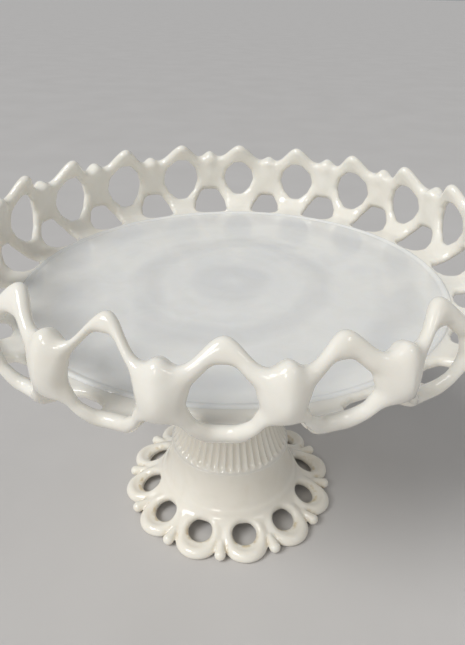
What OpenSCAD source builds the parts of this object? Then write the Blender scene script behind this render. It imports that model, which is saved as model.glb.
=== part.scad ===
// Pressed milk-glass cake stand: a flat round plate with an open lace rim, on a fluted, hollow
// pedestal with a bell and a lace foot. Millimetres, +Z up, origin on the table under the centre.

/* [Plate] */
// Radius of the flat floor that the cake stands on
floor_r = 118; // [110:1:126]
// Height of the floor's upper face above the table
floor_z = 157; // [140:1:175]
// Thickness of the floor
floor_t = 6; // [5:0.5:7]

/* [Lace rim] */
// Number of arches round the rim, with a post between each two
rim_units = 20; // [19:1:21]
// Angle from the foot's pattern to the rim's
rim_twist = 3; // [0:1:9]
// Thickness of the glass in the rim
rim_t = 5.6; // [5:0.2:6.6]
// Width of a tall opening
arch_w = 25; // [20:1:26]
// Height of a tall opening
arch_h = 29; // [24:1:30]
// Width of a low opening where it is widest, near the floor
gap_w = 22.4; // [18:0.2:24]
// Height of the peaks above the floor
peak_rise = 46; // [42:1:50]
// Height of the valleys beside a knob above the floor
valley_rise = 35.5; // [34:0.5:38]
// Radius of the rounded post that ends in a knob
post_r = 5.4; // [4.6:0.2:6]

/* [Pedestal] */
// Radius of the wafer of glass that joins the plate to the pedestal
wafer_r = 25; // [21:1:30]
// Thickness of the wafer
wafer_t = 5; // [3:0.5:7]
// Number of flutes round the neck
flutes = 48; // [36:4:60]
// Radius that the neck narrows towards
stem_r = 17.5; // [15:0.5:20]
// Radius at the top of the bell, under the flutes
bell_top_r = 38.8; // [37:0.2:41]
// Radius at the foot of the bell
bell_base_r = 45; // [43:0.5:47]
// Height of the bell's top edge
bell_top_z = 42.7; // [40:0.5:46]
// Thickness of the glass in the bell and the neck
wall_t = 5.5; // [4.5:0.5:6.5]

/* [Lace foot] */
// Number of ringed holes round the foot, with a petal between each two
foot_units = 12; // [12:1:13]
// Radius of a hole in the foot
eye_r = 7.6; // [6.5:0.2:8]
// Distance of the holes from the centre line
eye_at = 54; // [53:0.5:55]
// Distance of the scallops' centres from the centre line
scallop_at = 57; // [56:0.5:58]
// Radius of a scallop
scallop_r = 14; // [13.4:0.2:14.4]
// Height where the foot meets the bell
foot_top_z = 16.5; // [15:0.5:18]

/* [Hidden] */
fine = 96;

bead_w = 3.6;
bead_h = 0.8;

unit_a = 360 / rim_units;
mid_z = floor_z - rim_t / 2;
path_step = 2;
path_len = 68;
flange_len = 10;
bend_len = 19;
wall_len = 20;
lip_len = path_len - flange_len - bend_len - wall_len;
flange_slope = 4;
bend_slope = 80;
wall_slope = 100;
lip_slope = 128;
lip_t = 7.2;
rim_r = 140;
arch_z = floor_z + 20;
gap_in = floor_r + 4.5;
gap_out = floor_r + 22.5;
gap_rise = 13;
post_low = floor_z + 16.9;
post_high = floor_z + valley_rise - 2;
post_at = 141.2;

neck_top_z = floor_z - floor_t - wafer_t;
neck_base_r = bell_top_r - 0.8;
flute_depth = 0.045;
neck_levels = 12;
hollow_top_z = 92;

petal_r = 3.7;
eye_tilt = 24;
ring_tilt = 19;
scallop_edge_z = 3.2;
foot_in_r = bell_base_r - wall_t;

function mix(a, b, t) = a + (b - a) * t;
function clamp01(t) = min(1, max(0, t));

// Slope of the rim's middle surface at a distance v along it: level, bending up, upright, leaning in.
function rim_slope(v) =
    v < flange_len ? flange_slope
    : v < flange_len + bend_len ? mix(flange_slope, bend_slope, (v - flange_len) / bend_len)
    : v < flange_len + bend_len + wall_len
        ? mix(bend_slope, wall_slope, (v - flange_len - bend_len) / wall_len)
    : mix(wall_slope, lip_slope, (v - flange_len - bend_len - wall_len) / lip_len);

function rim_path() = [
    for (v = 0, p = [floor_r, mid_z]; v <= path_len;
         p = p + path_step * [cos(rim_slope(v + path_step / 2)), sin(rim_slope(v + path_step / 2))],
         v = v + path_step) p
];

function rim_thickness(v) = mix(rim_t, lip_t, clamp01((v - 44) / 12));

function rim_side(side) = [
    for (i = [0 : len(rim_path()) - 1])
        let (v = i * path_step, a = i == 0 ? 0 : rim_slope(v))
            rim_path()[i] + side * rim_thickness(v) / 2 * [sin(a), -cos(a)]
];

function reversed(list) = [for (i = [len(list) - 1 : -1 : 0]) list[i]];

// Height of the rim's upper edge at a distance u to the side of a peak.
function edge_z(u) =
    let (half = 17)
        floor_z + valley_rise
        + (abs(u) < half ? (peak_rise - valley_rise) * pow((1 + cos(180 * u / half)) / 2, 0.8) : 0);

function signed_pow(x, e) = sign(x) * pow(abs(x), e);

// Outline of a tall opening: an oval whose upper half narrows to an arch.
function arch_outline() = [
    for (t = [0 : 15 : 345])
        [arch_w / 2 * cos(t) * (1 - 0.14 * max(0, sin(t))), arch_h / 2 * sin(t)]
];

// Outline of a low opening: flat beside the floor, narrower and round at the top.
function gap_outline(length) = [
    for (t = [7.5 : 15 : 352.5])
        [gap_w / 2 * signed_pow(cos(t), 0.65) * (0.82 - 0.3 * sin(t)),
         length / 2 * signed_pow(sin(t), 0.75)]
];

module post() {
    length = norm([2, post_high - post_low]);
    profile = concat(
        [[0, -post_r * sin(75)]],
        [for (a = [-75 : 15 : 0]) post_r * [cos(a), sin(a)]],
        [for (a = [0 : 15 : 75]) post_r * [cos(a), sin(a)] + [0, length]],
        [[0, post_r * sin(75) + length]]);
    translate([0, -post_at, post_low])
        rotate([-6, 0, 0])
            rotate_extrude($fn = fine) polygon(profile);
}

module arch_cutter() {
    translate([0, -rim_r + 22, arch_z])
        rotate([90, 0, 0])
            linear_extrude(40) polygon(arch_outline());
}

module gap_cutter() {
    chord = [gap_out - gap_in, gap_rise];
    translate([0, -(gap_in + gap_out) / 2, mid_z + gap_rise / 2 + 2])
        rotate([-atan2(chord[1], chord[0]), 0, 0])
            mirror([0, 1, 0])
                linear_extrude(44, center = true) polygon(gap_outline(norm(chord)));
}

module crown_cutter() {
    half = rim_r * tan(unit_a / 2) + 0.4;
    outline = concat(
        [[-half, floor_z + 70]],
        [for (i = [-12 : 12]) [half * i / 12, edge_z(half * i / 12)]],
        [[half, floor_z + 70]]);
    translate([0, -rim_r + 20, 0])
        rotate([90, 0, 0])
            linear_extrude(40) polygon(outline);
}

module plate_floor() {
    color("white") {
        translate([0, 0, floor_z - floor_t])
            cylinder(r = floor_r - bead_w, h = floor_t, $fn = fine);
        rotate_extrude($fn = fine)
            polygon([
                [floor_r - bead_w, floor_z - floor_t],
                [floor_r, floor_z - floor_t],
                [floor_r, floor_z + bead_h * 0.4],
                [floor_r - bead_w * 0.4, floor_z + bead_h],
                [floor_r - bead_w, floor_z]
            ]);
    }
}

module lace_rim() {
    color("ivory")
        rotate([0, 0, rim_twist])
            union() {
                difference() {
                    rotate_extrude($fn = fine) polygon(concat(rim_side(1), reversed(rim_side(-1))));
                    for (i = [0 : rim_units - 1]) {
                        rotate([0, 0, i * unit_a]) crown_cutter();
                        rotate([0, 0, i * unit_a]) arch_cutter();
                        rotate([0, 0, (i + 0.5) * unit_a]) gap_cutter();
                    }
                }
                for (i = [0 : rim_units - 1]) rotate([0, 0, (i + 0.5) * unit_a]) post();
            }
}

module joining_wafer() {
    color("whitesmoke")
        translate([0, 0, neck_top_z])
            rotate_extrude($fn = fine)
                polygon(concat(
                    [[0, 0]],
                    [for (a = [-60 : 20 : 60]) [wafer_r - wafer_t / 2, wafer_t / 2]
                        + wafer_t / 2 * [cos(a), sin(a) / sin(60)]],
                    [[0, wafer_t]]));
}

// Radius of the neck's ridges at a height z: it falls from the bell to the stem, then flares a little.
function neck_r(z) =
    stem_r + (neck_base_r - stem_r) * exp((bell_top_z - z) / 37)
    + 4 * pow(clamp01((z - neck_top_z + 14) / 14), 2);

// The flutes start with round ends just above the bell, and run out below the wafer.
function flute_cut(z) =
    flute_depth * sqrt(clamp01((z - bell_top_z) / 5)) * clamp01((neck_top_z - z) / 8);

// Four points to a flute: ridge, side, trough, side.
function neck_point(i, level) =
    let (z = bell_top_z + (neck_top_z - bell_top_z) * pow(level / neck_levels, 1.35),
         a = 90 * i / flutes,
         r = neck_r(z) * (1 - flute_cut(z) * (1 - cos(90 * i)) / 2))
        [r * cos(a), r * sin(a), z];

module neck_outside() {
    n = 4 * flutes;
    rings = [for (level = [0 : neck_levels]) for (i = [0 : n - 1]) neck_point(i, level)];
    low = (neck_levels + 1) * n;
    high = low + 1;
    sides = [
        for (level = [0 : neck_levels - 1]) for (i = [0 : n - 1])
            let (j = (i + 1) % n, a = level * n, b = a + n)
                each [[a + i, b + i, b + j], [a + i, b + j, a + j]]
    ];
    caps = [
        for (i = [0 : n - 1])
            let (j = (i + 1) % n, top = neck_levels * n)
                each [[low, i, j], [high, top + j, top + i]]
    ];
    polyhedron(points = concat(rings, [[0, 0, bell_top_z], [0, 0, neck_top_z]]),
               faces = concat(sides, caps));
}

function hollow_r(z) =
    (neck_r(z) - wall_t - 1) * sqrt(clamp01((hollow_top_z - z) / 26));

module neck_hollow() {
    levels = 14;
    rotate_extrude($fn = fine)
        polygon(concat(
            [[0, bell_top_z - 1], [hollow_r(bell_top_z), bell_top_z - 1]],
            [for (i = [0 : levels]) let (z = mix(bell_top_z, hollow_top_z, i / levels)) [hollow_r(z), z]]));
}

module fluted_neck() {
    color("linen")
        difference() {
            neck_outside();
            neck_hollow();
        }
}

// Radius of the bell's outside at a height z.
function bell_r(z) =
    bell_top_r + (bell_base_r - bell_top_r)
    * pow(clamp01((bell_top_z - z) / (bell_top_z - foot_top_z)), 2.2);

module bell() {
    levels = 10;
    heights = [for (i = [0 : levels]) mix(foot_top_z, bell_top_z, i / levels)];
    inner_top = hollow_r(bell_top_z);
    color("linen")
        rotate_extrude($fn = fine)
            polygon(concat(
                [for (z = heights) [bell_r(z), z]],
                [for (i = [levels : -1 : 0])
                    let (z = heights[i], t = i / levels)
                        [mix(foot_in_r, inner_top, pow(t, 0.8)), z]]));
}

// Upper surface of the foot at a distance r from the centre line.
function foot_z(r) =
    scallop_edge_z + 2.2
    + (foot_top_z - scallop_edge_z - 2.2) * pow(clamp01((69 - r) / (69 - bell_base_r)), 2.3);

module foot_shell() {
    outer_r = scallop_at + scallop_r;
    levels = 9;
    radii = [for (i = [0 : levels]) mix(bell_base_r, outer_r - 3.2, i / levels)];
    rotate_extrude($fn = fine)
        polygon(concat(
            [[foot_in_r, foot_top_z]],
            [for (r = radii) [r, foot_z(r)]],
            [[outer_r - 1, scallop_edge_z + 1], [outer_r, scallop_edge_z - 1], [outer_r - 0.8, 0.6],
             [outer_r - 2.4, 0], [outer_r - 9.5, 0]],
            [for (i = [levels - 3 : -1 : 0]) [radii[i] - 4.2, max(0.9, foot_z(radii[i]) - 5)]]));
}

module foot_outline() {
    circle(r = 54.5, $fn = fine);
    for (i = [0 : foot_units - 1]) {
        rotate((i + 0.5) * 360 / foot_units) translate([0, -scallop_at]) circle(r = scallop_r, $fn = fine);
        rotate(i * 360 / foot_units) translate([0, -(scallop_at + scallop_r) * 0.84]) circle(r = 5, $fn = fine);
    }
}

module petal() {
    tip_at = 65;
    profile = concat(
        [[0, -petal_r * sin(75)]],
        [for (a = [-75 : 15 : 15]) petal_r * [cos(a), sin(a)]],
        [[petal_r * 0.8, 4], [petal_r * 0.5, 9], [petal_r * 0.2, 14], [0, 14]]);
    translate([0, -tip_at, petal_r + 0.4])
        rotate([-90 + 8, 0, 0])
            rotate_extrude($fn = 48) polygon(profile);
}

module eye_ring() {
    translate([0, -eye_at - 1.8, 6.3])
        rotate([ring_tilt, 0, 0])
            rotate_extrude($fn = fine) translate([10.8, 0]) circle(r = 2.7, $fn = 48);
}

module eye_cutter() {
    translate([0, -eye_at, 8])
        rotate([eye_tilt, 0, 0])
            cylinder(r = eye_r, h = 40, center = true, $fn = fine);
}

module lace_foot() {
    color("ivory")
        difference() {
            union() {
                intersection() {
                    foot_shell();
                    translate([0, 0, -1]) linear_extrude(foot_top_z + 2) foot_outline();
                }
                for (i = [0 : foot_units - 1]) {
                    rotate([0, 0, i * 360 / foot_units]) petal();
                    rotate([0, 0, (i + 0.5) * 360 / foot_units]) eye_ring();
                }
            }
            for (i = [0 : foot_units - 1]) rotate([0, 0, (i + 0.5) * 360 / foot_units]) eye_cutter();
        }
}

plate_floor();
lace_rim();
joining_wafer();
fluted_neck();
bell();
lace_foot();
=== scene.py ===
"""The looks of a pressed milk-glass cake stand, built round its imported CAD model."""
import math

import bpy
import numpy as np
from mathutils import Matrix, Vector


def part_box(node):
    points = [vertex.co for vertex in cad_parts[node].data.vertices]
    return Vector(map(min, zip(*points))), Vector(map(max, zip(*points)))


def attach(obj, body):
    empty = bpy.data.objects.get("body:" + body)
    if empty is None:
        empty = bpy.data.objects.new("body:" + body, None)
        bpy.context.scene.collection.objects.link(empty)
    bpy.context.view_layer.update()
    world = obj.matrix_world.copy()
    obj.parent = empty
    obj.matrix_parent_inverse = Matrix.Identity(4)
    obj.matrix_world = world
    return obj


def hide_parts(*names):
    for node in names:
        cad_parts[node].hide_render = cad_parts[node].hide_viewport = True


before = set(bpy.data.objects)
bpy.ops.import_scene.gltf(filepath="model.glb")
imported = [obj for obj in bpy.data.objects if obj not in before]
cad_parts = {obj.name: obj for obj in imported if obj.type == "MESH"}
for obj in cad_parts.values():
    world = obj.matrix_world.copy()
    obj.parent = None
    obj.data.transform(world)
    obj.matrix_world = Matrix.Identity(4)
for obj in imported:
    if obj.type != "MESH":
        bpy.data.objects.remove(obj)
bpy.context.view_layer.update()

MM = 0.001

# ------------------------------------------------ sizes in millimetres, most from the CAD nodes


def box_mm(node):
    low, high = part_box(node)
    return np.array(low) / MM, np.array(high) / MM


floor_low, floor_high = box_mm("plate_floor")
wafer_low, wafer_high = box_mm("joining_wafer")
neck_high = box_mm("fluted_neck")[1]
bell_low, bell_high = box_mm("bell")

BEAD_H = 0.8
FLOOR_R = floor_high[0]
FLOOR_Z = floor_high[2] - BEAD_H
UNDER_Z = floor_low[2]
WAFER_R = wafer_high[0]
WAFER_LOW = wafer_low[2]
NECK_R = neck_high[0]
BELL_BASE_R = bell_high[0]
BELL_TOP_Z = bell_high[2]
BELL_STEP = 0.8
BELL_TOP_R = NECK_R + BELL_STEP
FOOT_TOP_Z = bell_low[2]

RIM_UNITS = 20
RIM_TWIST = math.radians(3)
FOOT_UNITS = 12
FLUTES = 48

# The camera stands in front of the plate and above it, a little to the right of the foot's front petal.
VIEW_ANGLE = math.radians(4.1)
CAMERA_REACH = 307.1
CAMERA_HEIGHT = 302.0
CAMERA_PITCH = 0.5141
CAMERA_YAW = 0.0007
CAMERA_ROLL = 0.0216
SENSOR_WIDTH = 36
LENS = 45.569

# ------------------------------------------------ maths helpers


def smoothstep(low, high, x):
    """0 below low, 1 above high, and a smooth rise between."""
    t = np.clip((x - low) / (high - low), 0, 1)
    return t * t * (3 - 2 * t)


def smooth_max(a, b, k):
    """The larger of a and b, with a rounded corner about k wide where they meet."""
    h = np.clip(0.5 + 0.5 * (a - b) / k, 0, 1)
    return b + (a - b) * h + k * h * (1 - h)


def smooth_min(a, b, k):
    return -smooth_max(-a, -b, k)


def polygon_distance(x, y, corners):
    """Signed distance from points to a convex, counter-clockwise polygon, negative inside."""
    nearest = np.full(np.shape(x), 1e9)
    inside = np.ones(np.shape(x), bool)
    for (ax, ay), (bx, by) in zip(corners, corners[1:] + corners[:1]):
        ex, ey = bx - ax, by - ay
        t = np.clip(((x - ax) * ex + (y - ay) * ey) / (ex * ex + ey * ey), 0, 1)
        nearest = np.minimum(nearest, (x - ax - ex * t) ** 2 + (y - ay - ey * t) ** 2)
        inside &= ex * (y - ay) - ey * (x - ax) >= 0
    return np.sqrt(nearest) * np.where(inside, -1, 1)


def mirrored(right_side):
    """A closed outline, counter-clockwise, from its right side listed from the bottom up."""
    return right_side + [(-x, y) for x, y in reversed(right_side)]


def rounded_slab(s, d, h, r):
    """Distance to a slab of half thickness h about d = 0, with edges of radius r.

    s is the distance to the slab's outline."""
    a, b = s + r, np.abs(d) - h + r
    return np.minimum(np.maximum(a, b), 0) + np.hypot(np.maximum(a, 0), np.maximum(b, 0)) - r


def wrap_angle(a):
    return (a + math.pi) % (2 * math.pi) - math.pi


# ------------------------------------------------ meshes from distance fields

CORNERS = np.array([[i, j, k] for i in (0, 1) for j in (0, 1) for k in (0, 1)])
CELL_EDGES = [(a, b) for a in range(8) for b in range(a + 1, 8) if bin(a ^ b).count("1") == 1]


def surface_nets(field, axes):
    """Vertices and quads on the zero level of field, which is negative inside.

    axes gives each axis's start and step. The first axis closes on itself, as an angle does."""
    n0, n1, n2 = field.shape
    ring = np.concatenate([field, field[:1]], 0)
    corner = [ring[i : n0 + i, j : n1 - 1 + j, k : n2 - 1 + k] for i, j, k in CORNERS]
    inside = np.sum([c < 0 for c in corner], axis=0)
    active = (inside > 0) & (inside < 8)
    index = np.full(active.shape, -1, np.int64)
    index[active] = np.arange(active.sum())
    value = [c[active] for c in corner]
    total = np.zeros((len(value[0]), 3))
    hits = np.zeros(len(value[0]))
    for a, b in CELL_EDGES:
        cross = (value[a] < 0) != (value[b] < 0)
        t = np.where(cross, value[a] / np.where(cross, value[a] - value[b], 1), 0)
        total += (CORNERS[a] + t[:, None] * (CORNERS[b] - CORNERS[a])) * cross[:, None]
        hits += cross
    cells = np.argwhere(active) + total / hits[:, None]
    verts = np.stack([axes[n][0] + axes[n][1] * cells[:, n] for n in range(3)], 1)

    quads = []
    for axis in range(3):
        if axis == 0:
            a, b = ring[:n0, 1:-1, 1:-1], ring[1:, 1:-1, 1:-1]
        elif axis == 1:
            a, b = ring[:n0, :-1, 1:-1], ring[:n0, 1:, 1:-1]
        else:
            a, b = ring[:n0, 1:-1, :-1], ring[:n0, 1:-1, 1:]
        i, j, k = np.nonzero((a < 0) != (b < 0))
        before = (i - 1) % n0
        around = {
            0: [(i, j, k), (i, j + 1, k), (i, j + 1, k + 1), (i, j, k + 1)],
            1: [(before, j, k), (before, j, k + 1), (i, j, k + 1), (i, j, k)],
            2: [(before, j, k), (i, j, k), (i, j + 1, k), (before, j + 1, k)],
        }[axis]
        quad = np.stack([index[cell] for cell in around], 1)
        quads.append(np.where((a[i, j, k] < 0)[:, None], quad, quad[:, ::-1]))
    return verts, np.concatenate(quads)


def settle(points, quads, distance, radius, rounds):
    """Moves the vertices onto distance = 0, and evens out their spacing.

    radius scales the first axis, an angle."""
    reach = 0.05
    longest_step = 0.6
    flattest_slope = 0.05
    start, end = quads.ravel(), np.roll(quads, -1, 1).ravel()
    degree = np.bincount(start, minlength=len(points))
    for turn in range(rounds):
        if turn:
            step = points[end] - points[start]
            step[:, 0] = wrap_angle(step[:, 0])
            move = [np.bincount(start, step[:, n], len(points)) / degree for n in range(3)]
            points = points + 0.5 * np.stack(move, 1)
        for _ in range(2):
            scale = np.stack([1 / radius(points), np.ones(len(points)), np.ones(len(points))], 1)
            slope = np.zeros_like(points)
            for n in range(3):
                shift = np.zeros(3)
                shift[n] = reach
                slope[:, n] = distance(points + shift * scale) - distance(points - shift * scale)
            slope /= 2 * reach
            f = distance(points)
            step = -f / np.maximum((slope**2).sum(1), flattest_slope)
            step = np.clip(step, -longest_step, longest_step)
            points = points + step[:, None] * slope * scale
    return points


def skin(distance, radius, around, step, starts, spans):
    """Vertices and quads on distance = 0, from a grid that goes all the way round.

    around is its number of columns. step, starts and spans set its other two axes."""
    axes = [(0, 2 * math.pi / around)] + [(start, step) for start in starts]
    counts = [around] + [int(span / step) for span in spans]
    grid = [start + spacing * np.arange(count) for (start, spacing), count in zip(axes, counts)]
    points, quads = surface_nets(distance(np.stack(np.meshgrid(*grid, indexing="ij"), -1)), axes)
    return settle(points, quads, distance, radius, 4), quads


def signed_volume(verts, faces):
    total = 0.0
    for size in {len(f) for f in faces}:
        some = np.array([f for f in faces if len(f) == size])
        for n in range(1, size - 1):
            a, b, c = verts[some[:, 0]], verts[some[:, n]], verts[some[:, n + 1]]
            total += np.einsum("ij,ij->", a, np.cross(b, c))
    return total


def add_mesh(name, verts_mm, faces, material, attributes=None):
    """A smooth piece that rides on the stand, with its faces turned outwards.

    attributes are values per vertex."""
    verts = np.asarray(verts_mm, float)
    faces = [list(f) for f in faces]
    if signed_volume(verts, faces) < 0:
        faces = [f[::-1] for f in faces]
    mesh = bpy.data.meshes.new(name)
    mesh.from_pydata((verts * MM).tolist(), [], faces)
    mesh.polygons.foreach_set("use_smooth", np.ones(len(mesh.polygons), bool))
    for key, values in (attributes or {}).items():
        layer = mesh.attributes.new(key, "FLOAT", "POINT")
        layer.data.foreach_set("value", np.asarray(values, np.float32))
    mesh.materials.append(material)
    mesh.update()
    obj = bpy.data.objects.new(name, mesh)
    bpy.context.scene.collection.objects.link(obj)
    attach(obj, "root")
    return obj


def revolved(profile, columns, reshape=None):
    """Vertices and faces of a closed profile of (radius, height) points turned about the centre line.

    reshape(angles, row) may give a row's radii. A profile point on the centre line becomes one vertex."""
    angles = np.arange(columns) * 2 * math.pi / columns
    verts, rows = [], []
    for n, (r, z) in enumerate(profile):
        if r < 1e-6:
            rows.append([len(verts)])
            verts.append((0.0, 0.0, z))
            continue
        ring = np.full(columns, r) if reshape is None else reshape(angles, n)
        rows.append(list(range(len(verts), len(verts) + columns)))
        verts.extend(zip(ring * np.sin(angles), -ring * np.cos(angles), np.full(columns, z)))
    faces = []
    for low, high in zip(rows, rows[1:]):
        for i in range(columns):
            j = (i + 1) % columns
            if len(low) == 1:
                faces.append((low[0], high[j], high[i]))
            elif len(high) == 1:
                faces.append((low[i], low[j], high[0]))
            else:
                faces.append((low[i], low[j], high[j], high[i]))
    return np.array(verts), faces


# ------------------------------------------------ materials


def node(tree, kind, at, **settings):
    made = tree.nodes.new(kind)
    made.location = at
    for key, value in settings.items():
        setattr(made, key, value)
    return made


def noise(tree, coords, at, scale, detail, roughness, distortion=0.0):
    made = node(tree, "ShaderNodeTexNoise", at)
    made.inputs["Scale"].default_value = scale
    made.inputs["Detail"].default_value = detail
    made.inputs["Roughness"].default_value = roughness
    made.inputs["Distortion"].default_value = distortion
    tree.links.new(coords, made.inputs["Vector"])
    return made


def ramp(tree, source, at, stops):
    made = node(tree, "ShaderNodeValToRGB", at)
    made.color_ramp.elements[0].position, made.color_ramp.elements[0].color = stops[0]
    made.color_ramp.elements[1].position, made.color_ramp.elements[1].color = stops[-1]
    for position, colour in stops[1:-1]:
        made.color_ramp.elements.new(position).color = colour
    tree.links.new(source, made.inputs["Fac"])
    return made


def tinted(tree, factor, base, tint, at):
    """base, mixed towards the colour tint by factor."""
    made = node(tree, "ShaderNodeMix", at, data_type="RGBA")
    tree.links.new(factor, made.inputs["Factor"])
    tree.links.new(base, made.inputs[6])
    made.inputs[7].default_value = tint
    return made.outputs[2]


def multiplied(tree, first, second, at):
    made = node(tree, "ShaderNodeMix", at, data_type="RGBA", blend_type="MULTIPLY")
    made.inputs["Factor"].default_value = 1
    tree.links.new(first, made.inputs[6])
    tree.links.new(second, made.inputs[7])
    return made.outputs[2]


def milk_glass(name, milky, creamy, ripple, swirls=False):
    """Opaque white pressed glass: a cloudy body, a fire-polished skin with soft waves, and old tan stains.

    swirls adds the faint arcs that the mould's plunger leaves round the middle of a plate."""
    material = bpy.data.materials.new(name)
    material.use_nodes = True
    tree = material.node_tree
    shader = tree.nodes["Principled BSDF"]
    coords = node(tree, "ShaderNodeTexCoord", (-1500, 0)).outputs["Object"]

    cloud = noise(tree, coords, (-1200, 300), 16, 4, 0.55, 0.6)
    body = ramp(tree, cloud.outputs["Fac"], (-950, 300), [(0.32, milky), (0.7, creamy)])
    streak = noise(tree, coords, (-1200, 0), 55, 5, 0.6, 1.2)
    veil_stops = [(0.45, (1, 1, 1, 1)), (0.75, (0.965, 0.962, 0.95, 1))]
    veil = ramp(tree, streak.outputs["Fac"], (-950, 0), veil_stops)
    body = multiplied(tree, body.outputs["Color"], veil.outputs["Color"], (-650, 250))

    if swirls:
        arcs = node(tree, "ShaderNodeTexWave", (-1200, 650), wave_type="RINGS", rings_direction="Z")
        arcs.inputs["Scale"].default_value = 7
        arcs.inputs["Distortion"].default_value = 26
        arcs.inputs["Detail"].default_value = 4
        arcs.inputs["Detail Scale"].default_value = 0.35
        tree.links.new(coords, arcs.inputs["Vector"])
        mark_stops = [(0.05, (0.928, 0.928, 0.935, 1)), (0.6, (1, 1, 1, 1))]
        marks = ramp(tree, arcs.outputs["Fac"], (-950, 650), mark_stops)
        body = multiplied(tree, body, marks.outputs["Color"], (-500, 500))

    stain = node(tree, "ShaderNodeAttribute", (-1200, -300), attribute_name="stain").outputs["Fac"]
    patch = noise(tree, coords, (-1200, -500), 190, 3, 0.6)
    patchy = ramp(tree, patch.outputs["Fac"], (-950, -500), [(0.42, (0, 0, 0, 1)), (0.62, (1, 1, 1, 1))])
    dirt = node(tree, "ShaderNodeMath", (-650, -350), operation="MULTIPLY")
    tree.links.new(stain, dirt.inputs[0])
    tree.links.new(patchy.outputs["Color"], dirt.inputs[1])
    colour = tinted(tree, dirt.outputs[0], body, (0.60, 0.47, 0.24, 1), (-350, 150))
    tree.links.new(colour, shader.inputs["Base Color"])

    worn = noise(tree, coords, (-650, -650), 34, 6, 0.65)
    gloss_stops = [(0.35, (0.09, 0.09, 0.09, 1)), (0.8, (0.20, 0.20, 0.20, 1))]
    gloss = ramp(tree, worn.outputs["Fac"], (-350, -650), gloss_stops)
    tree.links.new(gloss.outputs["Color"], shader.inputs["Roughness"])

    wave = noise(tree, coords, (-650, -950), 38, 2, 0.4)
    peel = noise(tree, coords, (-650, -1200), 420, 3, 0.5)
    soft = node(tree, "ShaderNodeBump", (-350, -950))
    soft.inputs["Strength"].default_value = ripple
    soft.inputs["Distance"].default_value = 0.0016
    fine = node(tree, "ShaderNodeBump", (-100, -950))
    fine.inputs["Strength"].default_value = 0.05
    fine.inputs["Distance"].default_value = 0.0004
    tree.links.new(wave.outputs["Fac"], soft.inputs["Height"])
    tree.links.new(peel.outputs["Fac"], fine.inputs["Height"])
    tree.links.new(soft.outputs["Normal"], fine.inputs["Normal"])
    tree.links.new(fine.outputs["Normal"], shader.inputs["Normal"])

    shader.inputs["IOR"].default_value = 1.52
    shader.inputs["Subsurface Weight"].default_value = 0.35
    shader.inputs["Subsurface Radius"].default_value = (1.0, 0.9, 0.75)
    shader.inputs["Subsurface Scale"].default_value = 0.004
    return material


PLATE_GLASS = milk_glass("plate_milk_glass", (0.80, 0.80, 0.78, 1), (0.85, 0.84, 0.80, 1), 0.10, swirls=True)
RIM_GLASS = milk_glass("rim_milk_glass", (0.855, 0.82, 0.74, 1), (0.89, 0.865, 0.795, 1), 0.14)
FOOT_GLASS = milk_glass("pedestal_milk_glass", (0.85, 0.80, 0.705, 1), (0.885, 0.85, 0.765, 1), 0.14)


# ------------------------------------------------ the plate's floor


PLATE_LEAN = 0.021
DISH_LOW, DISH_DEPTH, DISH_R = 0.3, 0.4, 100
MARK_RISE, MARK_PACE = 0.05, 0.55
STEP_DEPTH = 0.12
BEAD_HALF, BEAD_RISE, BEAD_FALL = 2.7, 0.7, 0.7
BEAD_FOOT = 0.35
EDGE_OUT = 3.1
UNDER_DISH = 0.9


def lean(places):
    """The plate leans a little, down on its left, because it was joined to the pedestal by hand."""
    across = places[:, 0] * math.cos(VIEW_ANGLE) + places[:, 1] * math.sin(VIEW_ANGLE)
    return places + np.outer(PLATE_LEAN * across, (0, 0, 1))


def floor_top(r):
    """Height of the floor's upper face: hardly dished, with the low rings that the mould's plunger left."""
    dish = -DISH_LOW - DISH_DEPTH * (1 - np.clip(r / DISH_R, 0, 1) ** 2)
    rings = MARK_RISE * np.sin(r * MARK_PACE) * smoothstep(8, 20, r) * (1 - smoothstep(60, 85, r))
    step = -STEP_DEPTH * (1 - smoothstep(47, 50, r))
    return FLOOR_Z + dish + rings + step


def plate_floor():
    crest = FLOOR_R + 0.4
    radii = np.concatenate([np.arange(0, FLOOR_R - 3, 1.5), [FLOOR_R - 2.6]])
    top = [(r, floor_top(r)) for r in radii]
    bead = []
    for x in np.linspace(-1, 1, 19):
        height = BEAD_RISE * math.cos(math.pi * x / 2) ** 2 - BEAD_FALL * smoothstep(0.2, 1, x)
        bead.append((crest + BEAD_HALF * x, FLOOR_Z - BEAD_FOOT + height))
    edge = [(FLOOR_R + EDGE_OUT, FLOOR_Z - 1.9),
            (FLOOR_R + 2.9, UNDER_Z + 1.6),
            (FLOOR_R + 1.5, UNDER_Z + 0.25)]
    under = [(r, UNDER_Z - UNDER_DISH * (1 - smoothstep(30, 62, r))) for r in np.linspace(FLOOR_R, 4, 40)]
    verts, faces = revolved(top + bead + edge + under + [(0, UNDER_Z - UNDER_DISH)], 256)
    piece = add_mesh("plate", lean(verts), faces, PLATE_GLASS)
    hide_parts("plate_floor")


# ------------------------------------------------ the lace rim

RIM_T = 5.6
RIM_HALF = 2.3  # half the glass's thickness at an edge, before it swells
RIM_EDGE_R, RIM_EDGE_LOSS = 3.3, 1.0  # the round of its edges, and how much smaller that is at the top
TUCK = 6  # how far the rim's glass runs on inside the floor's edge, out of sight
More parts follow.
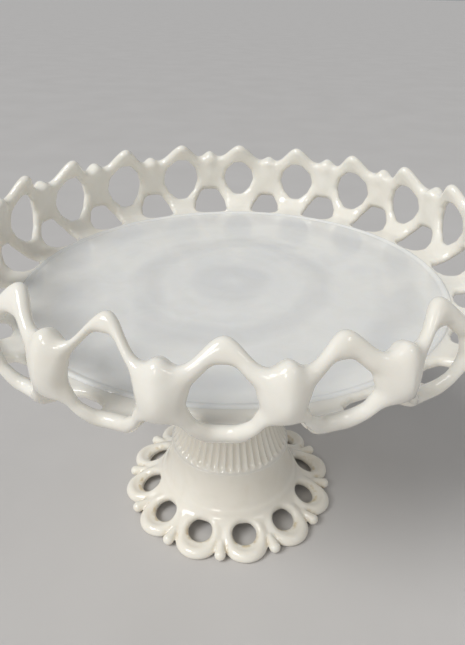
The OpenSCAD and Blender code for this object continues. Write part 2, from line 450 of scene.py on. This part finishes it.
# The rim's section, from the plate outwards: a flat flange, a bend, an upright wall and a lip that leans in.
FLANGE, BEND, WALL, LIP = 10.0, 19.0, 20.0, 19.0
ALONG_STEP = 0.25
ALONG = np.arange(-12, 80, ALONG_STEP)
SLOPE = np.radians(np.interp(
    ALONG,
    [-1, 0, FLANGE, FLANGE + BEND, FLANGE + BEND + WALL, FLANGE + BEND + WALL + LIP],
    [0, 4, 4, 80, 100, 126]))
PATH_R = np.cumsum(np.cos(SLOPE)) * ALONG_STEP
PATH_Z = np.cumsum(np.sin(SLOPE)) * ALONG_STEP
PATH_R += FLOOR_R - np.interp(0, ALONG, PATH_R)
PATH_Z += FLOOR_Z - RIM_T / 2 - np.interp(0, ALONG, PATH_Z)
UNIT = 2 * math.pi / RIM_UNITS

# Where the outline and the openings lie along the section. An opening is a polygon with a round edge.
PEAK_AT, VALLEY_AT, KNOB_RISE = 67.0, 55.2, 3.4
PEAK_HALF, KNOB_HALF = 15.0, 6.6
ARCH_AT = 39.4
ARCH = mirrored([(1.2, -9.0), (4.9, -5.4), (6.8, -0.6), (5.6, 4.2), (1.2, 8.6)])
ARCH_ROUND = 6.0
GAP_FROM = 5.2
GAP = mirrored([(2.5, 3.6), (6.0, 5.0), (7.0, 8.8), (6.3, 14.0), (3.2, 19.3)])
GAP_ROUND = 4.5
GAP_TALL = 24
CORNER_BLEND = 1.6
KNOB_DROP_HALF = 13

# How far the glass swells outwards and inwards: all over, on the posts' pads and on the knobs.
SWELL_OUT, PAD_OUT, KNOB_OUT = 2.1, 3.0, 1.5
SWELL_IN, PAD_IN, KNOB_IN = 1.1, 1.7, 1.6
SWELL_FROM, SWELL_TO = 5, 20
SWELL_DEPTH = 4.6
PAD_AT, PAD_WIDE, PAD_TALL = 42, 7.4, 10
KNOB_AT, KNOB_WIDE, KNOB_TALL = 54, 5.2, 5.5

# Units and posts are counted anticlockwise from the front. These are the ones that are clearly out of step:
# how much larger a tall opening is, how far its top is drawn up and how far it sits to one side, how much
# higher a peak is, how much lower a knob sits, and how far out, how much larger and how much longer a low
# opening is.
ARCH_GROWTH = {1: 1.03, 2: 1.1, 6: 0.93, 7: 0.93, 8: 0.96, 9: 0.92, 10: 0.84, 18: 1.06, 19: 1.12}
ARCH_RISE = {19: 4.0, 0: 0.9, 1: -0.4}
ARCH_SHIFT = {1: -1.3, 2: -1.6, 19: -0.7}
PEAK_LIFT = {0: -2.0, 1: -2.3, 6: -2.0, 9: -0.7, 10: -1.6, 11: -1.1, 18: 0.8, 19: 1.4}
KNOB_DROP = {0: 0.6, 1: 1.0, 6: 2.6, 9: 3.8, 11: 3.0, 13: 2.6, 18: 0.6, 19: 1.5}
GAP_OUT = {0: 1.0, 2: 1.2, 17: 3.6, 18: 2.2}
GAP_GROWTH = {2: 1.1, 9: 0.9}
GAP_RISE = {0: 2.0, 19: 0.8}
GAP_SPREAD = 0.04

# How far the rim strays from a true circle: its posts stand out, it is oval, its top rises and falls on its
# way round, and its low strands swing at the front.
POST_STAND = 1.2
OVAL = 0.65
SAG_TWICE, SAG_THRICE, SAG_THRICE_TURNED, SAG_SIDE = 1.1, 0.95, 0.7, 1.6
SWING, SWING_AT, SWING_WIDE = 1.6, 25, 12
SWING_RIGHT, SWING_LEFT = math.radians(45), math.radians(60)


def cosine_hump(x, half):
    return 0.5 + 0.5 * np.cos(math.pi * np.clip(np.abs(x) / half, 0, 1))


def of_unit(unit, table, usual):
    """The table's value for each unit, or the usual one."""
    values = np.full(RIM_UNITS, float(usual))
    for key, value in table.items():
        values[key] = value
    return values[np.mod(unit, RIM_UNITS).astype(int)]


def unevenness(unit, seed):
    """A small, steady difference between units, from -1 to 1, as hand-finished glass has."""
    return np.sin(unit * (2.1 + 0.7 * seed) + 1.3 * seed)


def rim_distance(p):
    """Signed distance in the rim's own coordinates: angle, distance along the section, distance out of it."""
    angle, v, d = p[..., 0], p[..., 1], p[..., 2]
    pitch = UNIT * np.interp(v, ALONG, PATH_R)
    turn = (angle - RIM_TWIST) / UNIT
    unit = np.round(turn)
    post = np.round(turn - 0.5)
    u = (turn - unit) * pitch
    w = (turn - 0.5 - post) * pitch

    edge = VALLEY_AT + (PEAK_AT - VALLEY_AT + of_unit(unit, PEAK_LIFT, 0)) * cosine_hump(u, PEAK_HALF)
    edge = edge + KNOB_RISE * cosine_hump(w, KNOB_HALF)
    edge = edge - of_unit(post, KNOB_DROP, 0) * cosine_hump(w, KNOB_DROP_HALF)
    steepest = (PEAK_AT - VALLEY_AT) * 0.5 * math.pi / PEAK_HALF
    steep = steepest * np.sin(math.pi * np.clip(np.abs(u) / PEAK_HALF, 0, 1))
    above = (v - edge) / np.sqrt(1 + steep**2)
    grow = of_unit(unit, ARCH_GROWTH, 1)
    upper = ARCH_ROUND + max(y for _, y in ARCH)
    drawn = 1 + of_unit(unit, ARCH_RISE, 0) / upper * (v > ARCH_AT)
    across = (u - of_unit(unit, ARCH_SHIFT, 0)) / grow
    arch = (polygon_distance(across, (v - ARCH_AT) / drawn / grow, ARCH) - ARCH_ROUND) * grow
    grow = (1 + GAP_SPREAD * unevenness(post, 3)) * of_unit(post, GAP_GROWTH, 1)
    longer = 1 + of_unit(post, GAP_RISE, 0) / GAP_TALL
    gap = polygon_distance(w / grow, (v - GAP_FROM - of_unit(post, GAP_OUT, 0)) / grow / longer, GAP)
    gap = (gap - GAP_ROUND) * grow
    s = smooth_max(above, -arch, CORNER_BLEND)
    s = smooth_max(s, -gap, CORNER_BLEND)
    s = np.maximum(s, -(v + TUCK))

    rise = smoothstep(SWELL_FROM, SWELL_TO, v)
    fill = 1 - np.exp(np.minimum(s, 0) / SWELL_DEPTH)
    pad = np.exp(-((w / PAD_WIDE) ** 2) - ((v - PAD_AT) / PAD_TALL) ** 2)
    knob = np.exp(-((w / KNOB_WIDE) ** 2) - ((v - KNOB_AT) / KNOB_TALL) ** 2)
    out = RIM_HALF + rise * (SWELL_OUT * fill + PAD_OUT * pad + KNOB_OUT * knob)
    inward = RIM_HALF - 0.05 * (1 - rise) + rise * (SWELL_IN * fill + PAD_IN * pad + KNOB_IN * knob)
    middle, half = (out - inward) / 2, (out + inward) / 2
    edge_r = RIM_EDGE_R - RIM_EDGE_LOSS * smoothstep(PAD_AT, KNOB_AT, v)
    return rounded_slab(s, d - middle, half, np.minimum(half, edge_r))


def rim_place(p):
    """Where a point in the rim's own coordinates is, in millimetres.

    The hot glass sagged a little: the rim is slightly oval, its top rises and falls by a few millimetres, and
    the low strands at the front swing up on one side and down on the other."""
    angle, v, d = p.T
    r = np.interp(v, ALONG, PATH_R) + d * np.sin(np.interp(v, ALONG, SLOPE))
    z = np.interp(v, ALONG, PATH_Z) - d * np.cos(np.interp(v, ALONG, SLOPE))
    r = r - POST_STAND * smoothstep(12, 32, v) * np.cos((angle - RIM_TWIST) * RIM_UNITS)
    seen = angle - VIEW_ANGLE
    level = smoothstep(4, 60, v)
    r = r + level * OVAL * np.cos(2 * seen)
    sag = -SAG_TWICE * np.cos(2 * seen) - SAG_THRICE * np.cos(3 * seen) - SAG_THRICE_TURNED * np.sin(3 * seen)
    z = z + level * sag
    z = z - level * SAG_SIDE * np.sin(seen)
    near = wrap_angle(seen) / np.where(np.sin(seen) < 0, SWING_LEFT, SWING_RIGHT)
    near = np.clip(near, -1, 1)
    swing = SWING * np.exp(-(((v - SWING_AT) / SWING_WIDE) ** 2))
    z = z + swing * np.sign(near) * np.sin(math.pi * near) ** 2
    return lean(np.stack([r * np.sin(angle), -r * np.cos(angle), z], 1))


def lace_rim():
    around, step = ((980, 0.9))
    points, quads = skin(
        rim_distance, lambda p: np.interp(p[:, 1], ALONG, PATH_R), around, step, (-8, -7.5), (81, 17))
    piece = add_mesh("rim", rim_place(points), quads, RIM_GLASS)
    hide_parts("lace_rim")


# ------------------------------------------------ the wafer and the neck


def joining_wafer():
    middle = (UNDER_Z + WAFER_LOW) / 2
    half = (UNDER_Z - WAFER_LOW) / 2 + 0.3
    side = [(WAFER_R - half + half * math.cos(a), middle + half * math.sin(a))
            for a in np.linspace(math.pi / 2, -math.pi / 2, 15)]
    verts, faces = revolved([(0, middle + half)] + side + [(0, middle - half)], 128)
    piece = add_mesh("wafer", verts, faces, FOOT_GLASS)
    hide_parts("joining_wafer")


STEM_R = 17.5
NECK_FALL = 37.0
WALL_T = 5.5
HOLLOW_TOP = 92.0
FLARE, FLARE_H = 4.5, 15
FLUTE_SHARE = 0.054
FLUTE_END = 3.4
DOME_H = 26
NECK_SINK = 1.6  # how far the neck's outer face runs on down inside the bell
SKIRT, SKIRT_H = 0.3, 1.3


def neck_r(z):
    """Radius of the neck's ridges: it falls from the bell to the stem, then flares to the wafer."""
    flare = FLARE * np.clip((z - WAFER_LOW + FLARE_H) / FLARE_H, 0, 1) ** 2.2
    skirt = SKIRT * np.clip((BELL_TOP_Z + SKIRT_H - z) / SKIRT_H, 0, 1) ** 2
    return STEM_R + (NECK_R - STEM_R) * np.exp((BELL_TOP_Z - z) / NECK_FALL) + flare + skirt


def hollow_r(z):
    """Radius of the hollow in the neck, which closes in a dome at HOLLOW_TOP."""
    outside = neck_r(np.maximum(z, BELL_TOP_Z + SKIRT_H))
    return (outside - WALL_T - 1) * np.sqrt(np.clip((HOLLOW_TOP - z) / DOME_H, 0, 1))


def fluted(angles, z, r):
    """Radii round the neck at a height z: a hollow curve for each flute, round at its lower end."""
    across = (angles * FLUTES / (2 * math.pi)) % 1 * 2 - 1
    low_end = np.clip((BELL_TOP_Z + 0.9 + FLUTE_END - z) / FLUTE_END, 0, 1.5)
    high_end = np.clip((z - WAFER_LOW + 6) / 4, 0, 1.5)
    bowl = np.maximum(0, 1 - across**2 - low_end**2 - high_end**2)
    return r - FLUTE_SHARE * r * bowl**0.85


def fluted_neck():
    seen_z = np.concatenate([np.linspace(WAFER_LOW + 0.3, 60, 34), np.linspace(59, BELL_TOP_Z, 28)])
    neck_z = np.concatenate([seen_z, [BELL_TOP_Z - NECK_SINK / 2, BELL_TOP_Z - NECK_SINK]])
    hollow_z = np.linspace(BELL_TOP_Z - 0.5, HOLLOW_TOP - 0.02, 28)
    outer = [(neck_r(max(z, BELL_TOP_Z)), z) for z in neck_z]
    profile = [(0, WAFER_LOW + 0.3)] + outer + [(NECK_R - 1.5, BELL_TOP_Z - NECK_SINK)]
    profile += [(hollow_r(z), z) for z in hollow_z] + [(0, HOLLOW_TOP)]

    def reshape(angles, row):
        r, z = profile[row]
        return fluted(angles, z, r) if 0 < row <= len(outer) else np.full(len(angles), r)

    verts, faces = revolved(profile, FLUTES * 16, reshape)
    piece = add_mesh("neck", verts, faces, FOOT_GLASS)
    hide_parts("fluted_neck")


# ------------------------------------------------ the bell and the lace foot

FOOT_UNIT = 2 * math.pi / FOOT_UNITS
FOOT_TURN = math.radians(0.35)
EYE_AT, EYE_R = 53.6, 7.55
EYE_IN = 47.2
EYE_LEAN, EYE_LEAN_Z = 0.38, 8
SCALLOP_AT, SCALLOP_R = 57.0, 14.0
RING_AT, RING_R = 56.4, 10.9
RING_RISE, RING_WIDE = 1.4, 2.8
CREASE, CREASE_WIDE = 0.7, 5.5
WEB_R = 59.5  # the scallops are joined by solid glass out to here
PETAL_TIP, PETAL_ROOT = (66.1, 4.0), (59.5, 6.0)
PETAL_TIP_R, PETAL_ROOT_R = 3.5, 1.9
EDGE_Z, EDGE_R = 5.4, 69
FOOT_T, FOOT_T_MORE = 5.2, 2.2  # the foot's glass at its edge, and how much thicker it is near the bell
FOOT_EDGE_R = 2.7


def bell_r(z):
    """Radius of the bell, which flares down to the foot."""
    down = np.clip((BELL_TOP_Z - z) / (BELL_TOP_Z - FOOT_TOP_Z), 0, 1)
    return BELL_TOP_R + (BELL_BASE_R - BELL_TOP_R) * down**2.2


def foot_top(r):
    """Height of the foot's upper face, before the rings and petals are raised on it."""
    return EDGE_Z + (FOOT_TOP_Z - EDGE_Z) * np.clip((EDGE_R - r) / (EDGE_R - BELL_BASE_R), 0, 1) ** 2.3


def round_cone(x, y, z, low, high, low_r, high_r):
    """Distance to a tapered rod with round ends, between two points (0, y, z)."""
    ey, ez = high[0] - low[0], high[1] - low[1]
    t = np.clip(((y - low[0]) * ey + (z - low[1]) * ez) / (ey * ey + ez * ez), 0, 1)
    off_axis = np.sqrt(x**2 + (y - low[0] - ey * t) ** 2 + (z - low[1] - ez * t) ** 2)
    return off_axis - low_r - (high_r - low_r) * t


def bell_inside(z):
    """Radius of the hollow inside the bell, and straight down below it."""
    low = BELL_BASE_R - WALL_T
    share = np.clip((z - FOOT_TOP_Z) / (BELL_TOP_Z - FOOT_TOP_Z), 0, 1)
    return low + (hollow_r(BELL_TOP_Z) - low) * share**0.8


def from_nearest(angle, r, offset):
    """Distances across and along the nearest petal's radius, or the nearest eye's with an offset of 0.5."""
    turn = (angle - FOOT_TURN) / FOOT_UNIT - offset
    off = (turn - np.round(turn)) * FOOT_UNIT
    return r * np.sin(off), r * np.cos(off)


def foot_distance(p):
    """Signed distance to the foot and the bell, which are one surface: the bell flows into the foot."""
    angle, r, z = p[..., 0], p[..., 1], p[..., 2]
    ex, ey = from_nearest(angle, r, 0.5)
    px, py = from_nearest(angle, r, 0)

    outline = smooth_min(np.hypot(ex, ey - SCALLOP_AT) - SCALLOP_R, r - WEB_R, 3.5)
    eye_y = ey - EYE_AT - EYE_LEAN * (z - EYE_LEAN_Z)
    eye = smooth_max(np.hypot(ex, eye_y) - EYE_R, EYE_IN - r, 1.2)
    s = smooth_max(outline, -eye, 1.0)
    s = np.maximum(s, BELL_BASE_R - WALL_T - 4 - r)

    off_ring = np.hypot(ex, ey - RING_AT) - RING_R
    ridge = RING_RISE * np.exp(-((off_ring / RING_WIDE) ** 2)) * smoothstep(48, 54, r)
    valley = CREASE * np.exp(-((px / CREASE_WIDE) ** 2)) * smoothstep(57, 63, py)
    top = foot_top(r) + ridge - valley
    low = np.maximum(foot_top(r) - FOOT_T - FOOT_T_MORE * (1 - smoothstep(46, 56, r)), 0.0)
    middle, half = (top + low) / 2, (top - low) / 2
    tilt = np.cos(math.pi / 4 * (1 - smoothstep(45, 58, r)))
    body = rounded_slab(s, (z - middle) * tilt, half * tilt, np.minimum(half * tilt, FOOT_EDGE_R))
    petal = round_cone(px, py, z, PETAL_TIP, PETAL_ROOT, PETAL_TIP_R, PETAL_ROOT_R)
    body = smooth_min(body, petal, 2.0)

    bell = smooth_max((r - bell_r(z)) * 0.93, FOOT_TOP_Z - 2.5 - z, 1.0)
    whole = smooth_min(body, bell, 3.0)
    whole = smooth_max(whole, (bell_inside(z) - r) * 0.95, 1.0)
    return smooth_max(whole, z - BELL_TOP_Z, 0.9)


def foot_stain(points):
    """Where old stains gather: round the outer side of each eye, and in the creases beside the petals."""
    angle, r, z = points.T
    ex, ey = from_nearest(angle, r, 0.5)
    eye = np.hypot(ex, ey - EYE_AT) - EYE_R
    ring = np.exp(-((eye - 0.6) / 1.1) ** 2) * smoothstep(-2, 5, ey - EYE_AT)
    crease = np.exp(-((np.abs(ex) - 12.6) / 1.2) ** 2) * smoothstep(57, 62, r) * 0.6
    return (0.75 * ring + crease) * (z < 15)


def lace_foot():
    around, step = ((504, 0.8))
    points, quads = skin(foot_distance, lambda p: p[:, 1], around, step, (29, -1.5), (45, 47))
    angle, r, z = points.T
    places = np.stack([r * np.sin(angle), -r * np.cos(angle), np.maximum(z, 0)], 1)
    stain = {"stain": foot_stain(points)}
    piece = add_mesh("bell_and_foot", places, quads, FOOT_GLASS, stain)
    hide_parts("bell", "lace_foot")


plate_floor()
lace_rim()
joining_wafer()
fluted_neck()
lace_foot()

# ------------------------------------------------ camera, lights and floor

LIT_AT = Vector((0, 0, 0.1))
KEY_SPREAD = math.radians(26)
LAMP_SIDE = 0.25
FLOOR_HALF = 40.0


def place_camera():
    view = bpy.data.cameras.new("camera")
    camera = bpy.data.objects.new("camera", view)
    bpy.context.scene.collection.objects.link(camera)
    view.sensor_fit = "HORIZONTAL"
    view.sensor_width = SENSOR_WIDTH
    view.lens = LENS
    view.clip_start = 0.01  # metres
    ahead = Vector((math.sin(CAMERA_YAW) * math.cos(CAMERA_PITCH),
                    math.cos(CAMERA_YAW) * math.cos(CAMERA_PITCH),
                    -math.sin(CAMERA_PITCH)))
    level = ahead.cross(Vector((0, 0, 1))).normalized()
    above = level.cross(ahead)
    right = level * math.cos(CAMERA_ROLL) + above * math.sin(CAMERA_ROLL)
    up = above * math.cos(CAMERA_ROLL) - level * math.sin(CAMERA_ROLL)
    turned = Matrix((right, up, -ahead)).transposed()
    place = Matrix.Translation(Vector((0, -CAMERA_REACH, CAMERA_HEIGHT)) * MM) @ turned.to_4x4()
    camera.matrix_world = Matrix.Rotation(VIEW_ANGLE, 4, "Z") @ place
    bpy.context.scene.camera = camera


def add_light(kind, name, place, power, colour):
    """A light that points at the middle of the stand."""
    lamp = bpy.data.lights.new(name, kind)
    lamp.energy = power
    lamp.color = colour
    obj = bpy.data.objects.new(name, lamp)
    bpy.context.scene.collection.objects.link(obj)
    obj.location = place
    obj.rotation_euler = (LIT_AT - Vector(place)).to_track_quat("-Z", "Y").to_euler()
    return lamp


def studio():
    mesh = bpy.data.meshes.new("studio_floor")
    corners = [(x * FLOOR_HALF, y * FLOOR_HALF, 0) for x, y in [(-1, -1), (1, -1), (1, 1), (-1, 1)]]
    mesh.from_pydata(corners, [], [(0, 1, 2, 3)])
    floor = bpy.data.objects.new("studio_floor", mesh)
    bpy.context.scene.collection.objects.link(floor)
    paper = bpy.data.materials.new("pale_paper")
    paper.use_nodes = True
    tree = paper.node_tree
    shader = tree.nodes["Principled BSDF"]
    coords = node(tree, "ShaderNodeTexCoord", (-900, 0)).outputs["Object"]
    grain = noise(tree, coords, (-650, 0), 9, 3, 0.5)
    tone_stops = [(0.3, (0.57, 0.55, 0.53, 1)), (0.7, (0.60, 0.58, 0.56, 1))]
    tone = ramp(tree, grain.outputs["Fac"], (-350, 0), tone_stops)
    tree.links.new(tone.outputs["Color"], shader.inputs["Base Color"])
    shader.inputs["Roughness"].default_value = 0.6
    mesh.materials.append(paper)

    world = bpy.data.worlds.new("studio")
    world.use_nodes = True
    world.node_tree.nodes["Background"].inputs["Color"].default_value = (0.92, 0.94, 0.97, 1)
    world.node_tree.nodes["Background"].inputs["Strength"].default_value = 0.36
    bpy.context.scene.world = world

    key = add_light("SUN", "key", (-0.78, -0.66, 1.18), 1.9, (0.98, 0.99, 1.0))
    key.angle = KEY_SPREAD
    glint = add_light("AREA", "glint", (-0.30, -1.15, 0.85), 1.7, (1.0, 0.97, 0.92))
    fill = add_light("AREA", "fill", (0.85, -0.70, 1.05), 0.9, (1.0, 0.96, 0.90))
    for lamp in (glint, fill):
        lamp.shape = "RECTANGLE"
        lamp.size = lamp.size_y = LAMP_SIDE


place_camera()
studio()
bpy.context.scene.view_settings.view_transform = "Standard"
